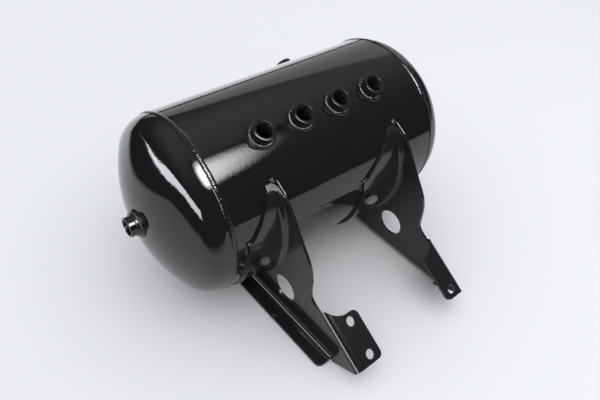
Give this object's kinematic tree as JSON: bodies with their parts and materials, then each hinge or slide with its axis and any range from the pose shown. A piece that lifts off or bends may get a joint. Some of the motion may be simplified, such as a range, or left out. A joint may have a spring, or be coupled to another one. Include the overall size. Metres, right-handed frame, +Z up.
{
  "type": "compressed-air reservoir",
  "caption": "Gloss-black welded compressed-air tank with domed ends, threaded ports in shell and ends, and two bent-sheet mounting brackets it stands on.",
  "frame": {"origin": "middle of the bounding box, on the floor under the part", "axes": "+X along the tank axis from the front bracket to the rear bracket, +Z up from the plane of the lower bracket flanges, the brackets and feet reach towards -Y"},
  "size_m": [0.499, 0.411, 0.2702],
  "materials": {
    "tank_paint": "deep gloss black, slight orange peel",
    "bracket_paint": "gloss black",
    "port_paint": "gloss black over turned steel",
    "weld_paint": "gloss black over rippled weld bead"
  },
  "bodies": {
    "root": {"shell": "tank_paint", "head_left": "tank_paint", "head_right": "tank_paint", "seam_weld_left": "weld_paint", "seam_weld_right": "weld_paint", "long_seam_weld": "weld_paint", "port_1": "port_paint", "port_2": "port_paint", "port_3": "port_paint", "port_4": "port_paint", "port_weld_1": "weld_paint", "port_weld_2": "weld_paint", "port_weld_3": "weld_paint", "port_weld_4": "weld_paint", "drain_port": "port_paint", "drain_port_weld": "weld_paint", "end_port_left": "port_paint", "end_port_left_weld": "weld_paint", "end_port_right": "port_paint", "end_port_right_weld": "weld_paint", "front_bracket": "bracket_paint", "rear_bracket": "bracket_paint", "front_tip_weld": "weld_paint", "rear_tip_weld": "weld_paint", "front_flange_weld": "weld_paint", "rear_flange_weld": "weld_paint", "front_under_weld": "weld_paint", "rear_under_weld": "weld_paint"}
  },
  "joints": []
}
